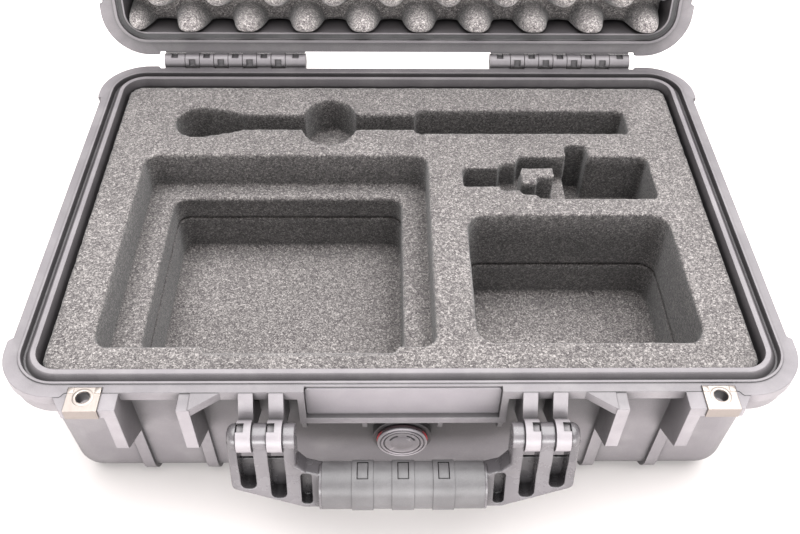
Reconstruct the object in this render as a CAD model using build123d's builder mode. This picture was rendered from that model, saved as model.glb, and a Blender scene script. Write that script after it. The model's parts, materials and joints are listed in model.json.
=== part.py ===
from build123d import *
import os
from math import atan, cos, degrees, pi, radians, sin, sqrt, tan

# A hard carrying case, standing open, cut out in foam for an antenna set.
# Millimetres. X runs to the right, Y to the back and Z up, with the front
# of the case towards -Y. The origin is the centre of the resting face.

# The shells
opening_length = 425.0
opening_width = 284.0
opening_radius = 15.0
base_depth = 111.0
lid_depth = 44.0
wall = 4.5
base_floor = 5.0
lid_roof = 5.5
inner_draft = 2.5
outer_draft = 3.0
tub_radius = 22.0
bottom_radius = 20.0
lid_edge_radius = 12.0
inner_bottom_radius = 11.0
rim_gap = 0.3

# The rim, where each width is measured outwards from the opening's edge
flange_width = 15.8
flange_thickness = 7.0
flange_step = 0.9
lip_width = 3.0
groove_inner = 6.6
groove_outer = 7.8
groove_mouth = 8.5
groove_depth = 4.2
ridge_width = 10.0
tongue_inner = 5.3
tongue_outer = 7.5
tongue_depth = 2.0
gasket_inner = 1.4
gasket_width = 3.0
gasket_height = 3.2
gasket_play = 0.1
gasket_clearance = 0.3

# The thickened corners of both flanges
lobe_reach = 2.8
lobe_thickness = 16.0
lobe_side_length = 38.5
lobe_end_length = 38.0
lobe_chamfer = 1.2

# The ribs round the walls, and the deep fins beside the latches
rib_height = 2.5
rib_width = 7.2
outer_rib_x = 162.8
inner_rib_x = 122.1
side_rib_ys = (-75.0, -30.0, 30.0, 75.0)
side_rib_length = 24.0
fin_front = 169.5
fin_drop = 42.5
lid_fin_drop = 24.0
fin_slope = 1.0
fin_slant = 15.2
web_reach = 103.0
web_thickness = 6.0

# The padlock lugs at the two front corners, with their steel plates
padlock_x = 178.0
padlock_y = 161.2
padlock_hole = 7.9
padlock_lug_outer = 197.0
padlock_lug_taper = 7.0
padlock_lug_front = 169.5
padlock_lug_thickness = 7.0
plate_width = 18.6
plate_thickness = 1.0
plate_back = 154.0
plate_lip = 6.5
plate_gap = 0.5

# The two hinges at the back
hinge_y = 166.0
hinge_height = 0.5
hinge_x = 130.0
knuckle_radius = 6.2
knuckle_width = 11.0
end_knuckle_width = 16.0
knuckle_gap = 0.4
base_knuckles = 5
hinge_pin_radius = 1.6
pin_clearance = 0.05
window_size = 5.0
window_depth = 1.2
lid_open_angle = 100.0

# The handle and the lugs that carry it
handle_y = 176.0
handle_drop = 17.0
barrel_radius = 7.3
handle_rest = 12.0
arm_x = 79.6
lug_shift = 0.5
lug_spacing = 17.0
lug_width = 8.4
lug_radius = 9.0
lug_notch_width = 4.2
lug_notch_depth = 3.0
strut_angle = 20.0
finger_gap = 0.4
arm_half_width = 19.0
arm_thickness = 12.5
arm_edge_radius = 2.5
arm_outer_drop = 37.0
arm_toe_drop = 52.8
arm_toe_inset = 2.5
arm_corner_radius = 4.0
crease_top = 15.0
crease_drop = 27.0
crease_depth = 1.6
barrel_end_radius = 4.5
handle_pin_radius = 2.0
handle_pin_inset = 1.5
barrel_cap = 1.5
outer_slot_depth = 37.0
inner_slot_depth = 44.5
slot_corner_radius = 4.0
arm_pocket_width = 6.5
arm_pocket_height = 24.0
arm_pocket_depth = 8.0
grip_end_inset = 1.5
strut_foot = 40.0
grip_half_length = 46.8
grip_centre_drop = 40.0
grip_depth = 24.0
grip_height = 28.0
grip_radius = 11.3
grip_skin = 3.0
band_height = 0.7
band_edges = (6.4, 17.2, 29.5)
grip_window_width = 6.6
grip_window_height = 12.0
grip_window_shift = 1.2

# The blank nameplate between the handle's arms, and the valve under it
block_half_width = 60.0
block_height = 30.5
nameplate_half_width = 56.0
nameplate_height = 26.5
nameplate_recess = 4.0
nameplate_thickness = 1.0
small_rib_xs = (-58.5, -22.5, 22.5, 58.5)
small_rib_width = 3.0
small_rib_drop = 47.0
valve_drop = 60.0
valve_radius = 15.2
valve_thickness = 4.5
valve_boss_radius = 18.0
valve_boss_front = 149.5
valve_stem_radius = 9.0
valve_bore_radius = 5.5
valve_ring_radius = 1.4
membrane_thickness = 0.6

# The latches, drawn closed and then swung open: offsets from the rim plane
latch_width = 42.0
latch_pivot_y = 169.0
latch_pivot_height = 18.0
link_offset_y = 3.5
link_offset_z = 11.0
latch_pin_radius = 1.6
lever_front = 179.0
lever_skin = 3.2
lever_top = 36.0
lever_bottom = -5.0
cheek_thickness = 3.2
lid_lug_width = 3.6
lid_lug_inner = 13.4
lid_lug_radius = 4.6
claw_width = 22.0
claw_thickness = 3.4
claw_boss_radius = 3.2
claw_back = 159.4
hook_width = 7.8
hook_reach = 152.6
hook_thickness = 3.5
hook_gap = 0.4
lever_swing = 90.0
claw_swing = 80.0

# The foam: two glued layers in the base and a convoluted sheet in the lid
foam_gap = 1.7
foam_top_drop = 6.0
foam_seam_drop = 54.5
foam_seat = 0.3
foam_corner_radius = 12.0
pocket_floor_drop = 85.5
shelf_drop = 35.0
shelf_left, shelf_right, shelf_front, shelf_back = -183.0, 20.0, -121.0, 55.5
shelf_border = 18.4
shelf_back_border = 14.7
notch_left, notch_right, notch_reach = -117.0, -4.0, 6.0
bay_left, bay_right, bay_front, bay_back = 45.6, 181.8, -118.5, -7.9
pocket_corner_radius = 9.0
bay_corner_radius = 12.0
slot_depth = 36.0
slot_y = 95.5
rod_left, rod_right, rod_width = 12.7, 172.3, 27.8
channel_width = 17.2
ball_x, ball_width, ball_length = -52.4, 41.6, 54.9
drop_x, drop_radius, drop_neck_x, drop_neck = -150.0, 18.0, -119.0, 10.8
tool_depth = 22.0
tool_steps = (
    (45.5, 72.0, 22.0, 41.7),
    (71.6, 86.1, 17.8, 46.6),
    (85.0, 118.0, 41.8, 54.2),
    (85.7, 97.5, 13.6, 24.7),
    (97.0, 110.5, 10.0, 31.7),
    (110.0, 122.0, 10.0, 54.0),
)
deep_tool_depth = 42.0
deep_tool_steps = ((121.5, 137.3, 10.0, 68.0), (137.0, 180.0, 10.0, 54.3))
tool_radius = 2.0
egg_sheet = 20.0
egg_height = 28.5
egg_pitch = 45.0
egg_row_pitch = 22.5
egg_root_radius = 15.0
egg_shoulder_radius = 9.0
egg_tip_radius = 4.5
egg_shoulder = 0.8
egg_sides = 6
egg_phase = 17.0

# Levels and places that follow from the sizes above
rim_z = rib_height + base_floor + base_depth
flange_z = rim_z - flange_step
flange_under_z = flange_z - flange_thickness
half_width = opening_width / 2
half_length = opening_length / 2
wall_front = -(half_width + wall)
flange_front = -(half_width + flange_width)
flange_back = half_width + flange_width
lid_rim_z = rim_z + rim_gap
lid_flange_top_z = lid_rim_z + flange_thickness
lid_top_z = rim_z + lid_depth + lid_roof + rib_height
hinge_z = rim_z + hinge_height
hinge_axis = Axis((0, hinge_y, hinge_z), (1, 0, 0))
handle_z = rim_z - handle_drop
latch_y = -latch_pivot_y
latch_z = rim_z + latch_pivot_height
link_y = latch_y + link_offset_y
link_z = latch_z + link_offset_z
latch_x = arm_x + lug_shift
valve_z = rim_z - valve_drop
padlock_seat_z = rim_z - rim_gap - plate_thickness
lug_web_top_z = latch_z - link_offset_y - claw_boss_radius - 0.6
lid_ceiling_z = rim_z + lid_depth


def grown(offset, plane, radius=opening_radius):
    """The opening's rounded rectangle, grown by an offset."""
    with BuildSketch(plane) as outline:
        RectangleRounded(
            opening_length + 2 * offset, opening_width + 2 * offset, radius + offset
        )
    return outline.sketch


def flange_outline(plane):
    """A flange's edge, which steps out a little round the corners."""
    lobe_x = half_length + flange_width - lobe_end_length
    lobe_y = half_width + flange_width - lobe_side_length
    span = 2 * flange_width + 2 * lobe_reach
    with BuildSketch(plane) as outline:
        RectangleRounded(
            opening_length + span,
            opening_width + span,
            opening_radius + flange_width + lobe_reach,
        )
        for side in (-1, 1):
            with Locations((0, side * (half_width + flange_width + lobe_reach))):
                Rectangle(2 * lobe_x, 2 * lobe_reach, mode=Mode.SUBTRACT)
            with Locations((side * (half_length + flange_width + lobe_reach), 0)):
                Rectangle(2 * lobe_reach, 2 * lobe_y, mode=Mode.SUBTRACT)
        steps = outline.vertices().filter_by(
            lambda v: abs(abs(v.X) - lobe_x) < 0.01 or abs(abs(v.Y) - lobe_y) < 0.01
        )
        chamfer(steps, length=lobe_chamfer)
    return outline.sketch


def lobe_outline(plane):
    """The four corner zones in which the flange is thick."""
    lobe_x = half_length + flange_width - lobe_end_length
    lobe_y = half_width + flange_width - lobe_side_length
    span = 2 * flange_width + 2 * lobe_reach
    with BuildSketch(plane) as outline:
        RectangleRounded(
            opening_length + span,
            opening_width + span,
            opening_radius + flange_width + lobe_reach,
        )
        Rectangle(2 * lobe_x, opening_width + span, mode=Mode.SUBTRACT)
        Rectangle(opening_length + span, 2 * lobe_y, mode=Mode.SUBTRACT)
    return outline.sketch


def down(z):
    """A level plane that faces down."""
    return Plane(origin=(0, 0, z), x_dir=(1, 0, 0), z_dir=(0, 0, -1))


def up(z):
    """A level plane that faces up."""
    return Plane.XY.offset(z)


def across(x):
    """An upright plane square to X. Its x is the object's Y, its y is Z."""
    return Plane(origin=(x, 0, 0), x_dir=(0, 1, 0), z_dir=(1, 0, 0))


def tub(offset, start_z, height, direction, edge_radius):
    """A drafted block with a rounded far face: a shell's outer form."""
    plane = down(start_z) if direction < 0 else up(start_z)
    with BuildPart() as block:
        extrude(grown(offset, plane, tub_radius - wall), amount=height, taper=outer_draft)
        fillet(
            block.faces().sort_by(Axis.Z)[0 if direction < 0 else -1].edges(),
            radius=edge_radius,
        )
    return block.part


def cavity(start_z, height, direction, offset, edge_radius, draft=inner_draft):
    """The drafted hollow of a shell, or a foam block that lies in one."""
    plane = down(start_z) if direction < 0 else up(start_z)
    with BuildPart() as block:
        extrude(grown(offset, plane), amount=height, taper=draft)
        fillet(
            block.faces().sort_by(Axis.Z)[0 if direction < 0 else -1].edges(),
            radius=edge_radius,
        )
    return block.part


def rib_hoops(start_z, height, direction, edge_radius):
    """Ribs that run up the walls and over the outside of a shell's floor."""
    width = opening_width + 4 * flange_width
    length = opening_length + 4 * flange_width
    mid_z = start_z + direction * height / 2
    rib_xs = (-outer_rib_x, -inner_rib_x, inner_rib_x, outer_rib_x)
    with BuildPart() as slabs:
        with Locations(*[(0, y, mid_z) for y in side_rib_ys]):
            Box(length, rib_width, height)
        with Locations((0, 0, mid_z)):
            Box(2 * (half_length - side_rib_length), width, height, mode=Mode.SUBTRACT)
        with Locations(*[(x, 0, mid_z) for x in rib_xs]):
            Box(rib_width, width, height)
    outer = tub(
        wall + rib_height, start_z, height, direction, edge_radius + rib_height
    )
    with BuildPart() as hoops:
        add(outer)
        add(slabs.part, mode=Mode.INTERSECT)
    return hoops.part


def rim_groove():
    """The groove round the base's rim, with a sloping inner side."""
    flare = degrees(atan((groove_mouth - groove_outer) / groove_depth))
    slope = degrees(atan((groove_inner - lip_width) / groove_depth))
    with BuildPart() as groove:
        extrude(grown(groove_mouth, down(rim_z)), amount=groove_depth, taper=flare)
        extrude(
            grown(lip_width, down(rim_z)),
            amount=groove_depth,
            taper=-slope,
            mode=Mode.SUBTRACT,
        )
    return groove.part


def fins(direction):
    """The deep fins at the front, below the rim (-1) or above it (1)."""
    start = flange_z - 1 if direction < 0 else lid_rim_z + 1
    drop = fin_drop if direction < 0 else lid_fin_drop
    far = rim_z + direction * drop
    front = -fin_front
    with BuildPart() as group:
        for rib_x in (outer_rib_x, inner_rib_x):
            for side in (-1, 1):
                x = side * (rib_x - rib_width / 2)
                with BuildSketch(across(x)) as profile:
                    with BuildLine():
                        Polyline(
                            (wall_front + wall / 2, start),
                            (front, start),
                            (front + fin_slope, far - direction * 2),
                            (front + fin_slope + 2, far),
                            (wall_front + 3, far + direction * fin_slant),
                            close=True,
                        )
                    make_face()
                extrude(amount=side * rib_width)
    return group.part


def front_webs(z, thickness):
    """The slanting shelves between the inner fins and the flange."""
    fin_x = inner_rib_x - rib_width / 2
    with BuildPart() as webs:
        for side in (-1, 1):
            with BuildSketch(up(z)):
                with BuildLine():
                    Polyline(
                        (side * (fin_x + 1), flange_front + 2),
                        (side * (fin_x + 1), -fin_front + 0.5),
                        (side * fin_x, -fin_front + 0.5),
                        (side * web_reach, flange_front),
                        (side * web_reach, flange_front + 2),
                        close=True,
                    )
                make_face()
        extrude(amount=-thickness)
    return webs.part


def padlock_lugs(top_z):
    """The shelves at the front corners that a padlock passes through."""
    inner = outer_rib_x - rib_width / 2
    with BuildPart() as lugs:
        for side in (-1, 1):
            with BuildSketch(up(top_z)):
                with BuildLine():
                    Polyline(
                        (side * inner, wall_front + 1),
                        (side * padlock_lug_outer, wall_front + 1),
                        (side * padlock_lug_outer, flange_front),
                        (
                            side * (padlock_lug_outer - padlock_lug_taper),
                            -padlock_lug_front,
                        ),
                        (side * inner, -padlock_lug_front),
                        close=True,
                    )
                make_face()
        extrude(amount=-padlock_lug_thickness)
    return lugs.part


def padlock_bores(low_z, high_z):
    """The two round holes through a pair of lugs and plates."""
    with BuildPart() as bores:
        with Locations(*[(s * padlock_x, -padlock_y, low_z) for s in (-1, 1)]):
            Cylinder(
                padlock_hole / 2,
                high_z - low_z,
                align=(Align.CENTER, Align.CENTER, Align.MIN),
            )
    return bores.part


def knuckle_starts():
    """Where each knuckle of a hinge starts along X, and how wide it is."""
    widths = []
    for n in range(2 * base_knuckles - 1):
        at_end = n in (0, 2 * base_knuckles - 2)
        widths.append(end_knuckle_width if at_end else knuckle_width)
    total = sum(widths) + knuckle_gap * (len(widths) - 1)
    starts, x = [], -total / 2
    for width in widths:
        starts.append((x, width))
        x += width + knuckle_gap
    return starts


def knuckles(first, direction):
    """The knuckles of one leaf: every second one, for both hinges."""
    if direction < 0:
        near, far = flange_z - 0.5, flange_under_z
    else:
        near, far = lid_rim_z + 0.5, lid_flange_top_z
    mid = hinge_z
    windows = []
    with BuildPart() as leaf:
        for side in (-1, 1):
            for start, width in knuckle_starts()[first::2]:
                x = side * hinge_x + start
                with BuildSketch(across(x)):
                    with Locations((hinge_y, mid)):
                        Circle(knuckle_radius)
                    with BuildLine():
                        Polyline(
                            (flange_back - 2, near),
                            (hinge_y - knuckle_radius * 0.8, near),
                            (hinge_y, mid),
                            (hinge_y, mid + direction * knuckle_radius),
                            (flange_back - 2, far),
                            close=True,
                        )
                    make_face()
                extrude(amount=width)
                window_z = mid - direction * (knuckle_radius - window_depth / 2)
                windows.append((x + width / 2, hinge_y - 1, window_z))
        with Locations(*windows):
            Box(window_size, window_size, window_depth + 0.6, mode=Mode.SUBTRACT)
        bore = hinge_pin_radius + pin_clearance
        with Locations(Plane.YZ.offset(0)):
            with Locations((hinge_y, hinge_z)):
                Cylinder(bore, 2 * opening_length, mode=Mode.SUBTRACT)
    return leaf.part


def lug_places():
    """The handle lugs' places along X, as (centre, side)."""
    places = []
    for side in (-1, 1):
        for step in (-0.5, 0.5):
            places.append((side * (arm_x + lug_shift + step * lug_spacing), side))
    return places


def opened(part):
    """A piece of the lid, turned from closed to where the case stands open."""
    return part.rotate(hinge_axis, -lid_open_angle)


# The base shell
with BuildPart() as base_shell:
    add(tub(wall, rim_z - 2, rim_z - 2 - rib_height, -1, bottom_radius))
    # Ribs run up the walls and under the floor, and carry the case.
    add(rib_hoops(flange_z - 1, flange_z - 1, -1, bottom_radius))
    # The flange and its thick corners
    extrude(flange_outline(down(flange_z)), amount=flange_thickness)
    extrude(lobe_outline(down(flange_z - 1)), amount=lobe_thickness, taper=8)
    extrude(grown(ridge_width, down(rim_z)), amount=flange_thickness)
    add(fins(-1))
    add(front_webs(flange_z - 0.5, web_thickness))
    add(padlock_lugs(padlock_seat_z))
    add(knuckles(0, -1))
    # Struts slope from the flange to the handle's lugs.
    notches = []
    for lug_x, side in lug_places():
        with BuildSketch(across(lug_x - lug_width / 2)):
            with Locations((-handle_y, handle_z)):
                Circle(lug_radius)
            with BuildLine():
                turn = radians(strut_angle)
                reach = lug_radius * sqrt(0.5)
                Polyline(
                    (wall_front + wall / 2, flange_z - 0.5),
                    (flange_front - 0.5, flange_z - 0.5),
                    (
                        -handle_y + lug_radius * cos(turn),
                        handle_z + lug_radius * sin(turn),
                    ),
                    (-handle_y, handle_z),
                    (-handle_y + reach, handle_z - reach),
                    (wall_front + wall, rim_z - strut_foot),
                    close=True,
                )
            make_face()
        notch_x = lug_x + side * (lug_width - lug_notch_width) / 2
        notches.append((notch_x, -handle_y, handle_z + lug_radius))
    extrude(amount=lug_width)
    with Locations(*notches):
        Box(lug_notch_width, 6, 2 * lug_notch_depth, mode=Mode.SUBTRACT)
    # The block that frames the nameplate, with short ribs below it
    with Locations((0, wall_front + 1, flange_z - 0.5)):
        Box(
            2 * block_half_width,
            wall_front + 1 - flange_front,
            block_height,
            align=(Align.CENTER, Align.MAX, Align.MAX),
        )
    for x in small_rib_xs:
        with BuildSketch(across(x - small_rib_width / 2)):
            with BuildLine():
                Polyline(
                    (wall_front + wall / 2, rim_z - block_height + 2),
                    (flange_front + 1.5, rim_z - block_height + 2),
                    (wall_front - 4, rim_z - small_rib_drop),
                    (wall_front + wall / 2, rim_z - small_rib_drop - 5),
                    close=True,
                )
            make_face()
    extrude(amount=small_rib_width)
    recess_plane = Plane(origin=(0, flange_front, 0), x_dir=(1, 0, 0), z_dir=(0, -1, 0))
    with BuildSketch(recess_plane):
        with Locations((0, rim_z + 1)):
            Rectangle(
                2 * nameplate_half_width,
                nameplate_height + 1,
                align=(Align.CENTER, Align.MAX),
            )
    extrude(amount=-nameplate_recess, mode=Mode.SUBTRACT)
    # The valve's boss on the front wall
    valve_plane = Plane(
        origin=(0, -valve_boss_front, valve_z), x_dir=(1, 0, 0), z_dir=(0, -1, 0)
    )
    with BuildSketch(valve_plane):
        Circle(valve_boss_radius)
    extrude(amount=-(valve_boss_front + wall_front + wall / 2 + 3))
    # The hollow, the groove round the rim, and the bores
    add(cavity(rim_z, base_depth, -1, 0, inner_bottom_radius), mode=Mode.SUBTRACT)
    add(rim_groove(), mode=Mode.SUBTRACT)
    with Locations(*[(s * padlock_x, -plate_back, padlock_seat_z) for s in (-1, 1)]):
        Box(
            plate_width + 2 * plate_gap,
            2 * (padlock_lug_front - plate_back),
            rim_z - padlock_seat_z,
            align=(Align.CENTER, Align.MAX, Align.MIN),
            mode=Mode.SUBTRACT,
        )
    add(padlock_bores(0, rim_z), mode=Mode.SUBTRACT)
    with BuildSketch(valve_plane):
        Circle(valve_stem_radius)
    extrude(amount=-opening_width / 4, mode=Mode.SUBTRACT)
    with Locations(Plane.YZ):
        with Locations((-handle_y, handle_z)):
            Cylinder(
                handle_pin_radius + pin_clearance,
                2 * (arm_x + arm_half_width),
                mode=Mode.SUBTRACT,
            )


def padlock_plate(side, seat_z, direction):
    """A steel plate that lines a padlock hole, folded over its lug's front."""
    with BuildPart() as plate:
        with BuildSketch(across(side * padlock_x - plate_width / 2)):
            with BuildLine():
                Polyline(
                    (-plate_back - plate_gap, seat_z),
                    (-plate_back - plate_gap, seat_z + direction * plate_thickness),
                    (
                        -padlock_lug_front - plate_thickness,
                        seat_z + direction * plate_thickness,
                    ),
                    (-padlock_lug_front - plate_thickness, seat_z - direction * plate_lip),
                    (-padlock_lug_front, seat_z - direction * plate_lip),
                    (-padlock_lug_front, seat_z),
                    close=True,
                )
            make_face()
        extrude(amount=plate_width)
        with Locations((side * padlock_x, -padlock_y, seat_z)):
            Cylinder(padlock_hole / 2, 4 * plate_thickness, mode=Mode.SUBTRACT)
    return plate


def rod(x, y, z, radius, length):
    """A round pin along X, centred on a point."""
    with BuildPart() as pin:
        with Locations(Location((x, y, z), (0, 90, 0))):
            Cylinder(radius, length)
    return pin


# The pieces fixed to the base
nameplate_play = 0.3
with BuildPart() as nameplate:
    with Locations((0, flange_front + nameplate_recess, rim_z - nameplate_height)):
        Box(
            2 * (nameplate_half_width - nameplate_play),
            nameplate_thickness,
            nameplate_height - 2,
            align=(Align.CENTER, Align.MAX, Align.MIN),
        )
    fillet(nameplate.edges().filter_by(Axis.Y), radius=1.5)

ring_seat = 2 * valve_ring_radius
with BuildPart() as valve_cap:
    with BuildSketch(valve_plane):
        Circle(valve_radius - 2 * valve_ring_radius)
    extrude(amount=ring_seat + 0.1)
    with BuildSketch(valve_plane.offset(ring_seat + 0.1)):
        Circle(valve_radius)
    extrude(amount=valve_thickness - ring_seat)
    chamfer(valve_cap.faces().sort_by(Axis.Y)[0].edges(), length=0.7)
    with BuildSketch(valve_plane.offset(valve_thickness - 0.5)):
        Circle(valve_radius * 0.78)
        Circle(valve_radius * 0.70, mode=Mode.SUBTRACT)
    extrude(amount=2, mode=Mode.SUBTRACT)
    with BuildSketch(valve_plane.offset(valve_thickness - 0.9)):
        for start in (20, 200):
            SlotArc(CenterArc((0, 0), valve_radius * 0.45, start, 140), 1.6)
    extrude(amount=2, mode=Mode.SUBTRACT)

with BuildPart() as valve_ring:
    with BuildSketch(Plane.YZ):
        ring_r = valve_radius - valve_ring_radius + 0.3
        with Locations((-valve_boss_front - valve_ring_radius, valve_z + ring_r)):
            RegularPolygon(valve_ring_radius, 8)
    revolve(axis=Axis((0, 0, valve_z), (0, 1, 0)))

inner_wall_y = -(half_width - valve_drop * tan(radians(inner_draft)))
with BuildPart() as valve_stem:
    with BuildSketch(valve_plane):
        Circle(valve_stem_radius - pin_clearance)
        Circle(valve_bore_radius, mode=Mode.SUBTRACT)
    extrude(amount=-(valve_boss_front + inner_wall_y - 1))

with BuildPart() as valve_membrane:
    with BuildSketch(valve_plane):
        Circle(valve_bore_radius - pin_clearance)
    extrude(amount=-membrane_thickness)


# The foam in the base: a lower layer, and an upper one cut right through
def foam_block(top_drop, bottom_drop):
    """A layer of the foam block, a little clear of the drafted walls."""
    slant = tan(radians(inner_draft))
    with BuildPart() as block:
        with BuildSketch(down(rim_z - top_drop)):
            RectangleRounded(
                opening_length - 2 * (foam_gap + top_drop * slant),
                opening_width - 2 * (foam_gap + top_drop * slant),
                foam_corner_radius,
            )
        extrude(amount=bottom_drop - top_drop, taper=inner_draft)
    return block.part


def rounded_pocket(left, right, front, back, radius, plane):
    """A rounded rectangle given by its four sides."""
    with BuildSketch(plane) as outline:
        with Locations(((left + right) / 2, (front + back) / 2)):
            RectangleRounded(right - left, back - front, radius)
    return outline.sketch


inner_pocket = (
    shelf_left + shelf_border,
    shelf_right - shelf_border,
    shelf_front + shelf_border,
    shelf_back - shelf_back_border,
)
pocket_floor_z = rim_z - pocket_floor_drop
foam_top_z = rim_z - foam_top_drop
seam_z = rim_z - foam_seam_drop

with BuildPart() as foam_lower:
    add(foam_block(foam_seam_drop, base_depth - foam_seat))
    fillet(foam_lower.faces().sort_by(Axis.Z)[0].edges(), radius=inner_bottom_radius)
    floor = up(pocket_floor_z)
    extrude(
        rounded_pocket(*inner_pocket, pocket_corner_radius, floor),
        amount=base_depth,
        mode=Mode.SUBTRACT,
    )
    bay = (bay_left, bay_right, bay_front, bay_back)
    extrude(
        rounded_pocket(*bay, bay_corner_radius, floor),
        amount=base_depth,
        mode=Mode.SUBTRACT,
    )

with BuildPart() as foam_upper:
    add(foam_block(foam_top_drop, foam_seam_drop))
    extrude(
        rounded_pocket(*inner_pocket, pocket_corner_radius, up(seam_z - 1)),
        amount=base_depth,
        mode=Mode.SUBTRACT,
    )
    extrude(
        rounded_pocket(*bay, bay_corner_radius, up(seam_z - 1)),
        amount=base_depth,
        mode=Mode.SUBTRACT,
    )
    # The shelf round the large pocket, with a shallow notch to lift from
    with BuildSketch(up(rim_z - shelf_drop)):
        add(
            rounded_pocket(
                shelf_left,
                shelf_right,
                shelf_front,
                shelf_back,
                pocket_corner_radius,
                Plane.XY,
            )
        )
        with Locations(((notch_left + notch_right) / 2, shelf_front + notch_reach)):
            RectangleRounded(notch_right - notch_left, 4 * notch_reach, 4)
    extrude(amount=base_depth, mode=Mode.SUBTRACT)
    # The long slot of the rod, its ball joint and its drop-shaped foot
    with BuildSketch(up(rim_z - slot_depth)):
        with Locations(((rod_left + rod_right) / 2, slot_y)):
            RectangleRounded(rod_right - rod_left, rod_width, 3)
        with Locations(((drop_x + rod_left) / 2, slot_y)):
            Rectangle(rod_left - drop_x + 2, channel_width)
        with Locations((ball_x, slot_y)):
            Ellipse(ball_width / 2, ball_length / 2)
        with Locations((drop_x, slot_y)):
            Circle(drop_radius)
        with BuildLine():
            Polyline(
                (drop_x + 4, slot_y - drop_radius + 0.5),
                (drop_x + 4, slot_y + drop_radius - 0.5),
                (drop_neck_x, slot_y + drop_neck),
                (drop_neck_x, slot_y - drop_neck),
                close=True,
            )
        make_face()
    extrude(amount=base_depth, mode=Mode.SUBTRACT)
    # The stepped cut-out of a small tool
    for steps, depth in ((tool_steps, tool_depth), (deep_tool_steps, deep_tool_depth)):
        with BuildSketch(up(foam_top_z - depth)):
            for left, right, front, back in steps:
                add(rounded_pocket(left, right, front, back, tool_radius, Plane.XY))
        extrude(amount=base_depth, mode=Mode.SUBTRACT)

# The lid, drawn closed and then opened
with BuildPart() as lid_shell:
    lid_height = lid_ceiling_z + lid_roof - lid_rim_z - 2
    add(tub(wall, lid_rim_z + 2, lid_height, 1, lid_edge_radius))
    add(rib_hoops(lid_rim_z + 1, lid_top_z - lid_rim_z - 1, 1, lid_edge_radius))
    extrude(flange_outline(up(lid_rim_z)), amount=flange_thickness)
    extrude(lobe_outline(up(lid_rim_z + 1)), amount=lobe_thickness, taper=8)
    add(fins(1))
    add(front_webs(lid_flange_top_z - 0.5, web_thickness))
    add(padlock_lugs(lid_rim_z + plate_thickness + padlock_lug_thickness))
    add(knuckles(1, 1))
    # Pairs of lugs carry the latches.
    for side in (-1, 1):
        for start in (-lid_lug_inner - lid_lug_width, lid_lug_inner):
            with BuildSketch(across(side * latch_x + start)):
                with Locations((latch_y, latch_z)):
                    Circle(lid_lug_radius)
                with BuildLine():
                    Polyline(
                        (wall_front + wall / 2, lid_rim_z + 1),
                        (flange_front, lid_rim_z + 1),
                        (latch_y - lid_lug_radius * 0.8, latch_z - lid_lug_radius * 0.6),
                        (latch_y, latch_z),
                        (latch_y + lid_lug_radius, lug_web_top_z),
                        (wall_front + wall / 2, lug_web_top_z),
                        close=True,
                    )
                make_face()
    extrude(amount=lid_lug_width)
    # The tongue that enters the base's groove
    extrude(grown(tongue_outer, down(lid_rim_z + 1)), amount=1 + rim_gap + tongue_depth)
    extrude(
        grown(tongue_inner, down(lid_rim_z)),
        amount=rim_gap + tongue_depth,
        mode=Mode.SUBTRACT,
    )
    add(
        cavity(lid_rim_z - 1, lid_ceiling_z - lid_rim_z + 1, 1, 0, inner_bottom_radius),
        mode=Mode.SUBTRACT,
    )
    with BuildSketch(up(lid_rim_z)):
        add(grown(gasket_inner + gasket_width + gasket_play, Plane.XY))
        add(grown(gasket_inner - gasket_play, Plane.XY), mode=Mode.SUBTRACT)
    extrude(amount=gasket_height, mode=Mode.SUBTRACT)
    with Locations(*[(s * padlock_x, -plate_back, lid_rim_z) for s in (-1, 1)]):
        Box(
            plate_width + 2 * plate_gap,
            2 * (padlock_lug_front - plate_back),
            plate_thickness,
            align=(Align.CENTER, Align.MAX, Align.MIN),
            mode=Mode.SUBTRACT,
        )
    add(padlock_bores(rim_z, lid_top_z), mode=Mode.SUBTRACT)
    with Locations(Location((0, latch_y, latch_z), (0, 90, 0))):
        Cylinder(latch_pin_radius + pin_clearance, opening_length, mode=Mode.SUBTRACT)

with BuildPart() as lid_gasket:
    with BuildSketch(up(rim_z + gasket_clearance)):
        add(grown(gasket_inner + gasket_width, Plane.XY))
        add(grown(gasket_inner, Plane.XY), mode=Mode.SUBTRACT)
    extrude(amount=gasket_height)

# The lid's foam: a sheet with rows of tips, cut off square at its edges
egg_root_z = lid_ceiling_z - foam_seat - egg_sheet
egg_inset = foam_gap + (egg_root_z - rim_z) * tan(radians(inner_draft))
tips = []
rows = round(half_width / egg_row_pitch)
columns = round(half_length / egg_pitch)
for row in range(-rows - 1, rows + 1):
    shift = egg_phase - ((row + 1) % 2) * egg_pitch / 2
    for column in range(-columns, columns + 1):
        tips.append((shift + column * egg_pitch, -(row + 0.5) * egg_row_pitch))
tip_points = []
for z, radius in (
    (egg_root_z + 1, egg_root_radius),
    (egg_root_z - egg_shoulder * egg_height, egg_shoulder_radius),
    (egg_root_z - egg_height, egg_tip_radius),
):
    for n in range(egg_sides):
        angle = 2 * pi * n / egg_sides
        tip_points.append((radius * cos(angle), radius * sin(angle), z))
with BuildPart() as egg_tip:
    ConvexPolyhedron(tip_points)
with BuildPart() as lid_foam:
    with Locations(*tips):
        add(egg_tip.part)
    extrude(
        grown(-egg_inset, up(rim_z - egg_height)),
        amount=lid_top_z - rim_z + egg_height,
        mode=Mode.INTERSECT,
    )
    add(cavity(egg_root_z, egg_sheet, 1, -egg_inset, inner_bottom_radius))


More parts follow.
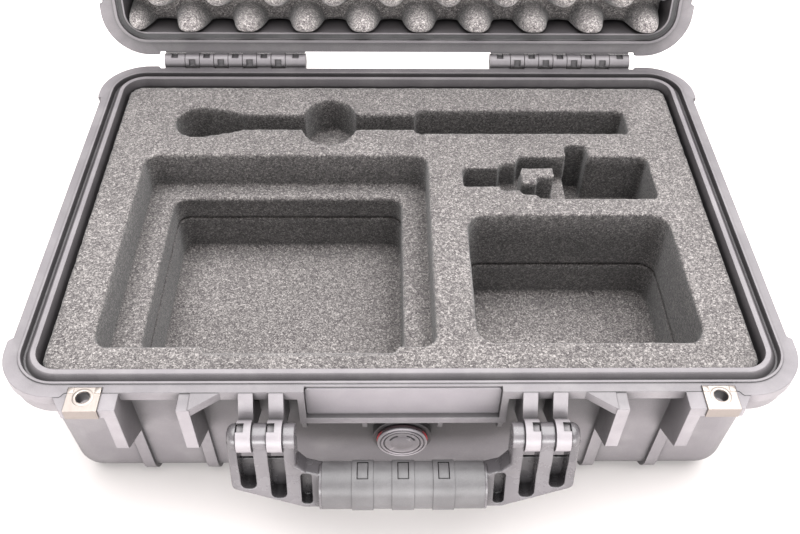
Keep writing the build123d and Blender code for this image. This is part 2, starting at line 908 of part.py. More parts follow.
def latch_lever(side):
    """The wide lever of a latch, closed: a skin with two cheeks."""
    x = side * latch_x - latch_width / 2
    back = -lever_front + lever_skin
    top_z = rim_z + lever_top
    low_z = rim_z + lever_bottom
    with BuildPart() as lever:
        with BuildSketch(across(x)):
            with BuildLine():
                Polyline(
                    (-lever_front - 3, low_z),
                    (back, low_z),
                    (back, top_z - lever_skin),
                    (link_y + claw_boss_radius, top_z - lever_skin),
                    (link_y + claw_boss_radius, top_z),
                    (-lever_front + 3, top_z),
                    (-lever_front, top_z - 3),
                    (-lever_front, low_z + 5),
                    (-lever_front - 3, low_z + 2.5),
                    close=True,
                )
            make_face()
        extrude(amount=latch_width)
        for start in (x, x + latch_width - cheek_thickness):
            with BuildSketch(across(start)):
                with BuildLine():
                    Polyline(
                        (back - 1, low_z + 4),
                        (back + 1, low_z + 4),
                        (latch_y + 4, latch_z - 5),
                        (link_y + claw_boss_radius, latch_z + 4),
                        (link_y + claw_boss_radius, top_z - 1),
                        (back - 1, top_z - 1),
                        close=True,
                    )
                make_face()
            extrude(amount=cheek_thickness)
        for y, z in ((latch_y, latch_z), (link_y, link_z)):
            with Locations(Location((side * latch_x, y, z), (0, 90, 0))):
                Cylinder(latch_pin_radius + pin_clearance, latch_width, mode=Mode.SUBTRACT)
        # Grip lines across the lever's face
        for step in range(3):
            with Locations((side * latch_x, -lever_front, low_z + 9 + 4 * step)):
                Box(latch_width - 10, 1.2, 1.6, mode=Mode.SUBTRACT)
    return lever


def latch_claw(side):
    """The claw of a latch, closed: pinned to the lever, hooked under the flange."""
    hook_top = flange_under_z - hook_gap
    hook_low = hook_top - hook_thickness
    front = -claw_back - claw_thickness
    neck_z = rim_z + 1
    with BuildPart() as claw:
        with BuildSketch(across(side * latch_x - claw_width / 2)):
            with Locations((link_y, link_z)):
                Circle(claw_boss_radius)
            with BuildLine():
                Polyline(
                    (link_y - claw_thickness / 2, link_z),
                    (link_y + claw_thickness / 2 + 1, link_z),
                    (-claw_back, rim_z + 10),
                    (-claw_back, neck_z),
                    (front, neck_z),
                    (front, rim_z + 10),
                    close=True,
                )
            make_face()
        extrude(amount=claw_width)
        with BuildSketch(across(side * latch_x - hook_width / 2)):
            with BuildLine():
                Polyline(
                    (front, neck_z + 1),
                    (-claw_back, neck_z + 1),
                    (-claw_back, hook_top),
                    (-hook_reach, hook_top),
                    (-hook_reach, hook_low + 1),
                    (-hook_reach - 1, hook_low),
                    (front + 2, hook_low),
                    (front, hook_low + 2),
                    close=True,
                )
            make_face()
        extrude(amount=hook_width)
        with Locations(Location((side * latch_x, link_y, link_z), (0, 90, 0))):
            Cylinder(latch_pin_radius + pin_clearance, claw_width, mode=Mode.SUBTRACT)
    return claw


pivot_axis = Axis((0, latch_y, latch_z), (1, 0, 0))
link_turn = radians(lever_swing)
open_link_y = latch_y + link_offset_y * cos(link_turn) + link_offset_z * sin(link_turn)
open_link_z = latch_z - link_offset_y * sin(link_turn) + link_offset_z * cos(link_turn)
open_link_axis = Axis((0, open_link_y, open_link_z), (1, 0, 0))


def swung(part):
    """A piece that turns with a latch's lever, from closed to open."""
    return part.rotate(pivot_axis, -lever_swing)


def hung(part):
    """A claw, from closed to where the open lever leaves it."""
    turned = part.rotate(pivot_axis, -lever_swing)
    return turned.rotate(open_link_axis, lever_swing - claw_swing)


def handle_plane():
    """The upright plane through the handle's pivots, facing the front."""
    return Plane(origin=(0, -handle_y, handle_z), x_dir=(1, 0, 0), z_dir=(0, -1, 0))


def grip_section(plane, growth):
    """The grip's well rounded section, grown by a height."""
    with BuildSketch(plane) as oval:
        RectangleRounded(
            grip_depth + 2 * growth, grip_height + 2 * growth, grip_radius + growth
        )
    return oval.sketch


def grip_plane(x):
    """A plane square to the grip, with its x along Y and its y along Z."""
    return Plane(
        origin=(x, -handle_y, handle_z - grip_centre_drop),
        x_dir=(0, 1, 0),
        z_dir=(1, 0, 0),
    )


def barrel(side):
    """An arm's round pivot end, well rounded on its outer side."""
    plane = Plane(
        origin=(side * (arm_x - arm_half_width), -handle_y, handle_z),
        x_dir=(0, 1, 0),
        z_dir=(side, 0, 0),
    )
    with BuildPart() as bar:
        with BuildSketch(plane):
            Circle(barrel_radius)
        extrude(amount=2 * arm_half_width)
        outer_end = bar.faces().sort_by(Axis.X)[0 if side < 0 else -1]
        fillet(outer_end.edges(), radius=barrel_end_radius)
    return bar.part


grip_end = grip_half_length + grip_end_inset
with BuildPart() as handle_frame:
    inner_u = arm_x - arm_half_width
    outer_u = arm_x + arm_half_width
    grip_top = -grip_centre_drop + grip_height / 2
    grip_low = -grip_centre_drop - grip_height / 2
    for side in (-1, 1):
        with BuildSketch(handle_plane()) as arm:
            with BuildLine():
                Polyline(
                    (side * inner_u, 0),
                    (side * outer_u, 0),
                    (side * outer_u, -arm_outer_drop),
                    (side * (inner_u - arm_toe_inset), -arm_toe_drop),
                    (side * grip_half_length, grip_low + 1),
                    (side * grip_half_length, grip_top - 1),
                    (side * (inner_u - 5), grip_top + 2),
                    (side * inner_u, grip_top + 8),
                    close=True,
                )
            make_face()
            corners = arm.vertices().filter_by(
                lambda v: -arm_toe_drop - 0.01 < v.Y < -arm_outer_drop + 0.01
            )
            fillet(corners, radius=arm_corner_radius)
        extrude(amount=arm_thickness / 2, both=True)
    rims = handle_frame.faces().filter_by(Axis.Y)
    fillet(rims.sort_by(Axis.Y)[:2].edges(), radius=arm_edge_radius)
    # A crease across the front of each arm
    front_y = -handle_y - arm_thickness / 2
    with BuildSketch(across(-outer_u - 1)):
        with BuildLine():
            Polyline(
                (front_y, handle_z - crease_top),
                (front_y + crease_depth, handle_z - crease_drop),
                (front_y, handle_z - arm_toe_drop),
                (front_y - crease_depth, handle_z - crease_drop),
                close=True,
            )
        make_face()
    extrude(amount=2 * outer_u + 2, mode=Mode.SUBTRACT)
    for side in (-1, 1):
        add(barrel(side))
        extrude(
            grip_section(grip_plane(side * grip_end), 0),
            amount=side * (pin_clearance - grip_end_inset),
        )
    extrude(grip_section(grip_plane(-grip_end), -grip_skin), amount=2 * grip_end)
    # Slots between the fingers take the case's lugs.
    slot_width = lug_width + 2 * finger_gap
    for side in (-1, 1):
        for step, depth in ((0.5, outer_slot_depth), (-0.5, inner_slot_depth)):
            u = side * (arm_x + lug_shift + step * lug_spacing)
            with BuildSketch(handle_plane()):
                with Locations((u, -depth)):
                    RectangleRounded(
                        slot_width,
                        depth + lug_radius + 4,
                        slot_corner_radius,
                        align=(Align.CENTER, Align.MIN),
                    )
            extrude(amount=lug_radius + 2, both=True, mode=Mode.SUBTRACT)
        # A moulding pocket beside each end of the grip
        with BuildSketch(handle_plane().offset(arm_thickness / 2)):
            with Locations((side * (inner_u - 5), grip_top - 11)):
                RectangleRounded(arm_pocket_width, arm_pocket_height, 2.5)
        extrude(amount=-arm_pocket_depth, mode=Mode.SUBTRACT)
        bore_x = side * (inner_u - 1 + outer_u - barrel_cap) / 2
        with Locations(Location((bore_x, -handle_y, handle_z), (0, 90, 0))):
            Cylinder(
                handle_pin_radius + pin_clearance,
                outer_u - barrel_cap - inner_u + 1,
                mode=Mode.SUBTRACT,
            )

with BuildPart() as handle_grip:
    extrude(grip_section(grip_plane(-grip_half_length), 0), amount=2 * grip_half_length)
    near, mid, far = band_edges
    bands = ((-far, -mid), (-near, near), (mid, far))
    for start, end in bands:
        extrude(grip_section(grip_plane(start), band_height), amount=end - start)
    extrude(
        grip_section(grip_plane(-grip_end), pin_clearance - grip_skin),
        amount=2 * grip_end,
        mode=Mode.SUBTRACT,
    )
    # Windows through the skin face the pivots.
    for start, end in bands:
        top = handle_z - grip_centre_drop + grip_height / 2
        with Locations(((start + end) / 2, -handle_y - grip_window_shift, top)):
            Box(
                grip_window_width,
                grip_window_height,
                2 * grip_skin + 4,
                mode=Mode.SUBTRACT,
            )

# The pins of the hinges and of the handle, for both sides
last_start, last_width = knuckle_starts()[-1]
hinge_pin_length = 2 * (last_start + last_width) - 2
hinge_pin_left = rod(-hinge_x, hinge_y, hinge_z, hinge_pin_radius, hinge_pin_length)
hinge_pin_right = rod(hinge_x, hinge_y, hinge_z, hinge_pin_radius, hinge_pin_length)
handle_pin_x = (inner_u + handle_pin_inset + outer_u - barrel_cap) / 2
handle_pin_length = outer_u - barrel_cap - inner_u - handle_pin_inset
handle_pin_left = rod(
    -handle_pin_x, -handle_y, handle_z, handle_pin_radius, handle_pin_length
)
handle_pin_right = rod(
    handle_pin_x, -handle_y, handle_z, handle_pin_radius, handle_pin_length
)

# The steel plates of the padlock holes
plate_top_z = lid_rim_z + plate_thickness
base_padlock_plate_left = padlock_plate(-1, padlock_seat_z, 1)
base_padlock_plate_right = padlock_plate(1, padlock_seat_z, 1)
lid_padlock_plate_left = padlock_plate(-1, plate_top_z, -1)
lid_padlock_plate_right = padlock_plate(1, plate_top_z, -1)

# The latches, with their pins
latch_pin_length = latch_width - 1
latch_lever_left = latch_lever(-1)
latch_lever_right = latch_lever(1)
latch_claw_left = latch_claw(-1)
latch_claw_right = latch_claw(1)
latch_pivot_pin_left = rod(-latch_x, latch_y, latch_z, latch_pin_radius, latch_pin_length)
latch_pivot_pin_right = rod(latch_x, latch_y, latch_z, latch_pin_radius, latch_pin_length)
latch_link_pin_left = rod(-latch_x, link_y, link_z, latch_pin_radius, latch_pin_length)
latch_link_pin_right = rod(latch_x, link_y, link_z, latch_pin_radius, latch_pin_length)

# The handle is drawn hanging straight down, and rests swung out a little.
handle_axis = Axis((0, -handle_y, handle_z), (1, 0, 0))
for piece in (handle_frame, handle_grip):
    piece.part = piece.part.rotate(handle_axis, -handle_rest)

# The latches are drawn closed: the levers swing out, and the claws with them.
for piece in (
    latch_lever_left,
    latch_lever_right,
    latch_link_pin_left,
    latch_link_pin_right,
):
    piece.part = swung(piece.part)
for piece in (latch_claw_left, latch_claw_right):
    piece.part = hung(piece.part)

# The lid is drawn closed too, and all that it carries opens with it.
for piece in (
    lid_shell,
    lid_gasket,
    lid_foam,
    lid_padlock_plate_left,
    lid_padlock_plate_right,
    latch_pivot_pin_left,
    latch_pivot_pin_right,
    latch_link_pin_left,
    latch_link_pin_right,
    latch_lever_left,
    latch_lever_right,
    latch_claw_left,
    latch_claw_right,
):
    piece.part = opened(piece.part)

os.makedirs("parts", exist_ok=True)
base_shell.part.label = "base_shell"
export_step(base_shell.part, "parts/base_shell.step")
nameplate.part.label = "nameplate"
export_step(nameplate.part, "parts/nameplate.step")
valve_cap.part.label = "valve_cap"
export_step(valve_cap.part, "parts/valve_cap.step")
valve_ring.part.label = "valve_ring"
export_step(valve_ring.part, "parts/valve_ring.step")
valve_stem.part.label = "valve_stem"
export_step(valve_stem.part, "parts/valve_stem.step")
valve_membrane.part.label = "valve_membrane"
export_step(valve_membrane.part, "parts/valve_membrane.step")
foam_lower.part.label = "foam_lower"
export_step(foam_lower.part, "parts/foam_lower.step")
foam_upper.part.label = "foam_upper"
export_step(foam_upper.part, "parts/foam_upper.step")
base_padlock_plate_left.part.label = "base_padlock_plate_left"
export_step(base_padlock_plate_left.part, "parts/base_padlock_plate_left.step")
base_padlock_plate_right.part.label = "base_padlock_plate_right"
export_step(base_padlock_plate_right.part, "parts/base_padlock_plate_right.step")
hinge_pin_left.part.label = "hinge_pin_left"
export_step(hinge_pin_left.part, "parts/hinge_pin_left.step")
hinge_pin_right.part.label = "hinge_pin_right"
export_step(hinge_pin_right.part, "parts/hinge_pin_right.step")
handle_pin_left.part.label = "handle_pin_left"
export_step(handle_pin_left.part, "parts/handle_pin_left.step")
handle_pin_right.part.label = "handle_pin_right"
export_step(handle_pin_right.part, "parts/handle_pin_right.step")
handle_frame.part.label = "handle_frame"
export_step(handle_frame.part, "parts/handle_frame.step")
handle_grip.part.label = "handle_grip"
export_step(handle_grip.part, "parts/handle_grip.step")
lid_shell.part.label = "lid_shell"
export_step(lid_shell.part, "parts/lid_shell.step")
lid_gasket.part.label = "lid_gasket"
export_step(lid_gasket.part, "parts/lid_gasket.step")
lid_foam.part.label = "lid_foam"
export_step(lid_foam.part, "parts/lid_foam.step")
lid_padlock_plate_left.part.label = "lid_padlock_plate_left"
export_step(lid_padlock_plate_left.part, "parts/lid_padlock_plate_left.step")
lid_padlock_plate_right.part.label = "lid_padlock_plate_right"
export_step(lid_padlock_plate_right.part, "parts/lid_padlock_plate_right.step")
latch_pivot_pin_left.part.label = "latch_pivot_pin_left"
export_step(latch_pivot_pin_left.part, "parts/latch_pivot_pin_left.step")
latch_pivot_pin_right.part.label = "latch_pivot_pin_right"
export_step(latch_pivot_pin_right.part, "parts/latch_pivot_pin_right.step")
latch_lever_left.part.label = "latch_lever_left"
export_step(latch_lever_left.part, "parts/latch_lever_left.step")
latch_lever_right.part.label = "latch_lever_right"
export_step(latch_lever_right.part, "parts/latch_lever_right.step")
latch_link_pin_left.part.label = "latch_link_pin_left"
export_step(latch_link_pin_left.part, "parts/latch_link_pin_left.step")
latch_link_pin_right.part.label = "latch_link_pin_right"
export_step(latch_link_pin_right.part, "parts/latch_link_pin_right.step")
latch_claw_left.part.label = "latch_claw_left"
export_step(latch_claw_left.part, "parts/latch_claw_left.step")
latch_claw_right.part.label = "latch_claw_right"
export_step(latch_claw_right.part, "parts/latch_claw_right.step")
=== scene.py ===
"""The looks of a hard carrying case that stands open, with cut foam for an antenna set.

Metres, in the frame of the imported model: X to the right, Y to the back, Z up.
"""

import json
import math

import bpy
import numpy as np
from mathutils import Matrix, Vector


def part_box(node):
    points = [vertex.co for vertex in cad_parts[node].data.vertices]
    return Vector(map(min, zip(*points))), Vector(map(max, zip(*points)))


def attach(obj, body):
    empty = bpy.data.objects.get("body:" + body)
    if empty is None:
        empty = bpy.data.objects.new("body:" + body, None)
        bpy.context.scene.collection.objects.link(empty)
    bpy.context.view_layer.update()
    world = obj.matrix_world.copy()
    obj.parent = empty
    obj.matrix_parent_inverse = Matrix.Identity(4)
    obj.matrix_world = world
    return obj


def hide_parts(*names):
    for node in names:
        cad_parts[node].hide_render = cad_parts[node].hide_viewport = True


MM = 0.001

# The camera, in millimetres and degrees, in the frame of the part
CAMERA_PLACE = (-9.81, -454.27, 531.89)
CAMERA_PITCH = 46.5006
CAMERA_YAW = -1.2995
CAMERA_ROLL = 0.8946
CAMERA_LENS = 40.525
CAMERA_SENSOR = 36.0

# Light: a wide soft light overhead, a low one in front, and a floor that glows with distance
SUN_STRENGTH = 8.7
SUN_SPREAD = 75.0
SUN_TILT_X = -8.0
SUN_TILT_Y = 6.0
SKY_STRENGTH = 0.7
FILL_POWER = 12.0
FILL_SIZE = (1.2, 0.25)
FILL_PLACE = (0.0, -0.8, 0.13)
TABLE_GLOW = (0.15, 2.4)
TABLE_GLOW_REACH = (0.3, 0.9)
FLOOR_HALF = 6.0

# Cut foam: how fine its mesh is, how far down its edges are soft, and how ragged they are
FOAM_VOXEL = 2.2 * MM
LOWER_FOAM_VOXEL = 3.0 * MM
SOFT_EDGE = 6.0 * MM
RAGGED_SIZE = 6.0 * MM
RAGGED_DEPTH = 0.7 * MM

# Convoluted foam: a sheet with staggered rows of fingers, each on a low, wide foot
EGG_PITCH = 45.0 * MM
EGG_PHASE = 17.0 * MM
EGG_ROW_PITCH = 26.0 * MM
EGG_ROW_PHASE = -18.0 * MM
EGG_RADIUS = 14.0 * MM
EGG_WAIST = 3.0
EGG_FOOT = 0.3
EGG_FOOT_RADIUS = 13.0 * MM
EGG_STEP = 1.6 * MM
EGG_SHEET = 20.0 * MM
EGG_CORNER = 12.0 * MM
EGG_BACK_RADIUS = 11.0 * MM
EGG_BACK_STEPS = 6

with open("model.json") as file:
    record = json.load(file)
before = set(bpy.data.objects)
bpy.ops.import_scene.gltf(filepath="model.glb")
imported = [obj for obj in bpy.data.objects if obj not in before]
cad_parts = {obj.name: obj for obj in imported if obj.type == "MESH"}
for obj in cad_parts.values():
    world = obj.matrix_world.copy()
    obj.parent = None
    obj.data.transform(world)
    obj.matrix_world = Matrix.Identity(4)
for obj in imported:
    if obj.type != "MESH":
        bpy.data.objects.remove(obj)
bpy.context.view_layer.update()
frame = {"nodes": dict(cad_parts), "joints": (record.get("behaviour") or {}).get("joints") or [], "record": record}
nodes = frame["nodes"]


# Node trees


class Tree:
    """A material's node tree, with short calls that add and join nodes."""

    def __init__(self, name):
        self.material = bpy.data.materials.new(name)
        self.material.use_nodes = True
        self.nodes = self.material.node_tree.nodes
        self.links = self.material.node_tree.links
        self.shader = self.nodes["Principled BSDF"]
        place = self.nodes.new("ShaderNodeTexCoord")
        self.place = place.outputs["Object"]

    def join(self, source, node, socket):
        self.links.new(source, node.inputs[socket])

    def noise(self, scale, detail=2.0, roughness=0.5, place=None):
        """Noise with features of about 1 / scale metres."""
        node = self.nodes.new("ShaderNodeTexNoise")
        node.inputs["Scale"].default_value = scale
        node.inputs["Detail"].default_value = detail
        node.inputs["Roughness"].default_value = roughness
        self.join(place or self.place, node, "Vector")
        return node.outputs["Fac"]

    def grains(self, scale):
        """A random value for each of many small cells."""
        node = self.nodes.new("ShaderNodeTexVoronoi")
        node.inputs["Scale"].default_value = scale
        self.join(self.place, node, "Vector")
        parts = self.nodes.new("ShaderNodeSeparateXYZ")
        self.join(node.outputs["Color"], parts, "Vector")
        return parts.outputs["X"]

    def blend(self, first, second, share):
        """Two values mixed, with share of the second."""
        node = self.nodes.new("ShaderNodeMix")
        node.data_type = "FLOAT"
        node.inputs[0].default_value = share
        self.join(first, node, 2)
        self.join(second, node, 3)
        return node.outputs[0]

    def openness(self, distance, low, high, floor):
        """1 on open surfaces, down to floor in corners and grooves within a distance; used to paint shade."""
        node = self.nodes.new("ShaderNodeAmbientOcclusion")
        node.samples = 8
        node.inputs["Distance"].default_value = distance
        return self.remap(node.outputs["AO"], low, high, floor, 1.0)

    def shaded(self, colour, factor):
        """A colour times a grey value."""
        grey = self.nodes.new("ShaderNodeCombineXYZ")
        for socket in ("X", "Y", "Z"):
            self.join(factor, grey, socket)
        return self.mix(1.0, colour, grey.outputs["Vector"], "MULTIPLY")

    def ramp(self, value, stops):
        """Colours against a value. Each stop is (position, grey or colour)."""
        node = self.nodes.new("ShaderNodeValToRGB")
        elements = node.color_ramp.elements
        while len(elements) < len(stops):
            elements.new(0.5)
        for element, (position, colour) in zip(elements, stops):
            element.position = position
            element.color = (*colour, 1.0)
        self.join(value, node, "Fac")
        return node.outputs["Color"]

    def mix(self, factor, first, second, blend="MIX"):
        """Two colours mixed. factor is a number or an output."""
        node = self.nodes.new("ShaderNodeMix")
        node.data_type = "RGBA"
        node.blend_type = blend
        if isinstance(factor, float):
            node.inputs[0].default_value = factor
        else:
            self.links.new(factor, node.inputs[0])
        for socket, colour in ((6, first), (7, second)):
            if isinstance(colour, tuple):
                node.inputs[socket].default_value = (*colour, 1.0)
            else:
                self.links.new(colour, node.inputs[socket])
        return node.outputs[2]

    def remap(self, value, low, high, to_low, to_high):
        """A value's range stretched to another, clamped."""
        node = self.nodes.new("ShaderNodeMapRange")
        for socket, number in zip(
            ("From Min", "From Max", "To Min", "To Max"), (low, high, to_low, to_high)
        ):
            node.inputs[socket].default_value = number
        self.join(value, node, "Value")
        return node.outputs["Result"]

    def facing(self, axis):
        """How far the surface faces along an axis of the model."""
        geometry = self.nodes.new("ShaderNodeNewGeometry")
        parts = self.nodes.new("ShaderNodeSeparateXYZ")
        self.join(geometry.outputs["Normal"], parts, "Vector")
        return parts.outputs[axis]

    def painted_edge_highlight(self, share):
        """Up to share along sharp outer edges, 0 elsewhere: where edge highlights are painted."""
        geometry = self.nodes.new("ShaderNodeNewGeometry")
        return self.remap(geometry.outputs["Pointiness"], 0.52, 0.62, 0.0, share)

    def bump(self, height, strength, distance, radius=0.0):
        """Surface relief from a height, over edges rounded by a radius."""
        node = self.nodes.new("ShaderNodeBump")
        node.inputs["Strength"].default_value = strength
        node.inputs["Distance"].default_value = distance
        self.join(height, node, "Height")
        if radius:
            bevel = self.nodes.new("ShaderNodeBevel")
            bevel.samples = 6
            bevel.inputs["Radius"].default_value = radius
            self.join(bevel.outputs["Normal"], node, "Normal")
        self.join(node.outputs["Normal"], self.shader, "Normal")

    def put(self, **values):
        """Sets or joins the shader's sockets."""
        for name, value in values.items():
            socket = self.shader.inputs[name.replace("_", " ")]
            if isinstance(value, bpy.types.NodeSocket):
                self.links.new(value, socket)
            else:
                socket.default_value = value


def scaled(colour, factor):
    """A colour made lighter or darker."""
    return tuple(channel * factor for channel in colour)


# How far the painted shade reaches: grooves, then deep corners
GROOVE_REACH = 10.0 * MM
CORNER_REACH = 70.0 * MM


def moulded_plastic(name, colour, rough, grain, edge_radius, dust=0.10, deepest_shade=0.35):
    """Moulded plastic: a fine grain, faint flow marks, patches of dust and pale edges painted as edge highlights.

    The colour darkens with painted shade in grooves, and towards its deepest value in deep corners.
    """
    tree = Tree(name)
    flow = tree.noise(14, 4, 0.6)
    colours = tree.ramp(
        flow, [(0.3, scaled(colour, 0.88)), (0.55, colour), (0.75, scaled(colour, 1.14))]
    )
    specks = tree.noise(2600, 2, 0.7)
    colours = tree.mix(
        tree.remap(specks, 0.56, 0.75, 0.0, 0.35), colours, scaled(colour, 1.9)
    )
    # Paler along sharp outer edges: a painted edge highlight
    painted_shading = tree.mix(tree.painted_edge_highlight(0.5), colours, scaled(colour, 2.0))
    patches = tree.remap(tree.noise(45, 5, 0.65), 0.45, 0.8, 0.0, dust)
    dusty = tree.mix(patches, painted_shading, (0.62, 0.60, 0.58))
    # Painted shade: darker in grooves, and darker still in deep corners
    tree.put(
        Base_Color=tree.shaded(
            tree.shaded(dusty, tree.openness(GROOVE_REACH, 0.35, 0.92, 0.65)),
            tree.openness(CORNER_REACH, 0.35, 0.85, deepest_shade),
        ),
        Roughness=tree.remap(tree.noise(90, 4, 0.6), 0.3, 0.7, rough - 0.05, rough + 0.06),
        Specular_IOR_Level=0.5,
    )
    tree.bump(tree.noise(1500, 3, 0.6), grain, 0.00025, edge_radius)
    return tree.material


def open_foam(name, dark, middle, light, scale, hollow, deepest_shade, side):
    """Open-cell foam: dark pores among pale cell walls that catch the light.

    The colour darkens with painted shade towards its deepest value within corners as narrow as hollow,
    and is side times as light on upright cuts: painted shade on walls that the light from above misses.
    """
    tree = Tree(name)
    pores = tree.blend(tree.grains(scale), tree.grains(scale * 0.55), 0.45)
    grey = tree.ramp(
        pores,
        [
            (0.15, scaled((1.0, 0.84, 0.88), dark)),
            (0.45, scaled((1.0, 0.91, 0.90), middle)),
            (0.70, scaled((1.0, 0.92, 0.89), light)),
            (0.90, scaled((1.0, 0.93, 0.90), 1.8 * light)),
        ],
    )
    drift = tree.ramp(tree.noise(18, 3, 0.5), [(0.3, (0.88,) * 3), (0.7, (1.1,) * 3)])
    mottled = tree.mix(1.0, grey, drift, "MULTIPLY")
    # Painted shade: upright cuts darker than the faces that look up
    side_shaded = tree.shaded(mottled, tree.remap(tree.facing("Z"), 0.3, 0.95, side, 1.0))
    # Painted shade: darker within narrow corners and hollows
    tree.put(
        Base_Color=tree.shaded(side_shaded, tree.openness(hollow, 0.2, 0.85, deepest_shade)),
        Roughness=0.95,
        Specular_IOR_Level=0.15,
        Sheen_Weight=0.2,
        Sheen_Roughness=0.6,
    )
    tree.bump(tree.noise(scale * 0.7, 2, 0.8), 0.7, 0.0008)
    return tree.material


def soft_rubber(name, colour, rough):
    """Moulded rubber: a dull sheen, fine grain, a bloom of dust, and painted shade in narrow corners."""
    tree = Tree(name)
    bloom = tree.remap(tree.noise(60, 5, 0.6), 0.35, 0.75, 0.0, 0.07)
    grain = tree.noise(1900, 2, 0.5)
    base = tree.mix(tree.remap(grain, 0.4, 0.7, 0.0, 0.5), colour, scaled(colour, 1.5))
    dusty = tree.mix(bloom, base, (0.5, 0.49, 0.495))
    # Painted shade: darker in narrow corners
    tree.put(
        Base_Color=tree.shaded(dusty, tree.openness(0.02, 0.2, 0.75, 0.15)),
        Roughness=tree.remap(tree.noise(120, 3, 0.6), 0.3, 0.7, rough - 0.06, rough + 0.06),
        Specular_IOR_Level=0.45,
    )
    tree.bump(grain, 0.25, 0.0003, 0.0004)
    return tree.material


def ring_rubber(name, painted_shading, colour):
    """A soft ring, red on its left and right sides and painted dark as shade on its top and bottom."""
    tree = Tree(name)
    size = tree.nodes.new("ShaderNodeMath")
    size.operation = "ABSOLUTE"
    tree.join(tree.facing("X"), size, 0)
    # Faces turned left or right keep the red; the top and bottom are painted dark as shade
    side = tree.remap(size.outputs["Value"], 0.72, 0.92, 0.0, 1.0)
    grain = tree.noise(1900, 2, 0.5)
    tree.put(
        Base_Color=tree.mix(side, painted_shading, colour),
        Roughness=tree.remap(grain, 0.3, 0.7, 0.36, 0.48),
        Specular_IOR_Level=0.4,
    )
    tree.bump(grain, 0.2, 0.0003, 0.0004)
    return tree.material


def brushed_metal(name, colour, rough, direction):
    """Sheet or bar metal: fine lines along one direction, and faint stains."""
    tree = Tree(name)
    mapping = tree.nodes.new("ShaderNodeMapping")
    mapping.inputs["Scale"].default_value = direction
    tree.join(tree.place, mapping, "Vector")
    lines = tree.noise(1.0, 4, 0.7, mapping.outputs["Vector"])
    stain = tree.noise(160, 4, 0.6)
    tree.put(
        Base_Color=tree.mix(
            tree.remap(stain, 0.45, 0.8, 0.0, 0.35), colour, scaled(colour, 0.7)
        ),
        Metallic=1.0,
        Roughness=tree.remap(lines, 0.3, 0.7, rough - 0.07, rough + 0.1),
    )
    tree.bump(lines, 0.15, 0.0001, 0.0003)
    return tree.material


SHELL_PLASTIC = moulded_plastic(
    "shell_plastic", (0.124, 0.113, 0.120), rough=0.46, grain=0.35, edge_radius=0.0008
)
VALVE_PLASTIC = moulded_plastic(
    "valve_plastic",
    (0.33, 0.305, 0.325),
    rough=0.4,
    grain=0.12,
    edge_radius=0.0003,
    dust=0.04,
    deepest_shade=0.8,
)
HANDLE_PLASTIC = moulded_plastic(
    "handle_plastic",
    (0.06, 0.055, 0.059),
    rough=0.26,
    grain=0.12,
    edge_radius=0.0012,
    dust=0.04,
)
GRIP_RUBBER = soft_rubber("grip_rubber", (0.052, 0.049, 0.051), rough=0.5)
GASKET_RUBBER = soft_rubber("gasket_rubber", (0.03, 0.029, 0.03), rough=0.6)
RING_RUBBER = ring_rubber("ring_rubber", painted_shading=(0.05, 0.03, 0.035), colour=(0.75, 0.03, 0.05))
BASE_FOAM = open_foam(
    "base_foam",
    dark=0.04,
    middle=0.10,
    light=0.17,
    scale=1600,
    hollow=0.02,
    deepest_shade=0.4,
    side=0.6,
)
LID_FOAM = open_foam(
    "lid_foam",
    dark=0.075,
    middle=0.19,
    light=0.31,
    scale=1600,
    hollow=0.03,
    deepest_shade=0.12,
    side=1.0,
)
STEEL = brushed_metal(
    "stainless_steel", (0.26, 0.23, 0.212), rough=0.42, direction=(2500, 120, 2500)
)
NAME_PLATE = moulded_plastic(
    "name_plate",
    (0.108, 0.099, 0.106),
    rough=0.42,
    grain=0.12,
    edge_radius=0.0004,
    dust=0.05,
)
MEMBRANE = soft_rubber("vent_membrane", (0.7, 0.7, 0.68), rough=0.7)

FINISHES = {
    "shell_plastic": SHELL_PLASTIC,
    "handle_plastic": HANDLE_PLASTIC,
    "grip_rubber": GRIP_RUBBER,
    "gasket_rubber": GASKET_RUBBER,
    "ring_rubber": RING_RUBBER,
    "base_foam": BASE_FOAM,
    "lid_foam": LID_FOAM,
    "steel": STEEL,
    "plate_aluminium": NAME_PLATE,
    "membrane": MEMBRANE,
}
for part in frame["record"]["subparts"]:
    mesh = nodes[part["node"]].data
    mesh.materials.clear()
    mesh.materials.append(FINISHES[part["material_slot"]])


# Pieces


def new_piece(name, mesh, body, finish):
    """A piece of the visual model, on a body, with its finish."""
    piece = bpy.data.objects.new(name, mesh)
    bpy.context.scene.collection.objects.link(piece)
    mesh.materials.clear()
    mesh.materials.append(finish)
    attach(piece, body)
    return piece


def settle(piece):
    """Applies a piece's modifiers to its mesh."""
    graph = bpy.context.evaluated_depsgraph_get()
    mesh = bpy.data.meshes.new_from_object(piece.evaluated_get(graph))
    piece.modifiers.clear()
    old = piece.data
    piece.data = mesh
    bpy.data.meshes.remove(old)


# Foam


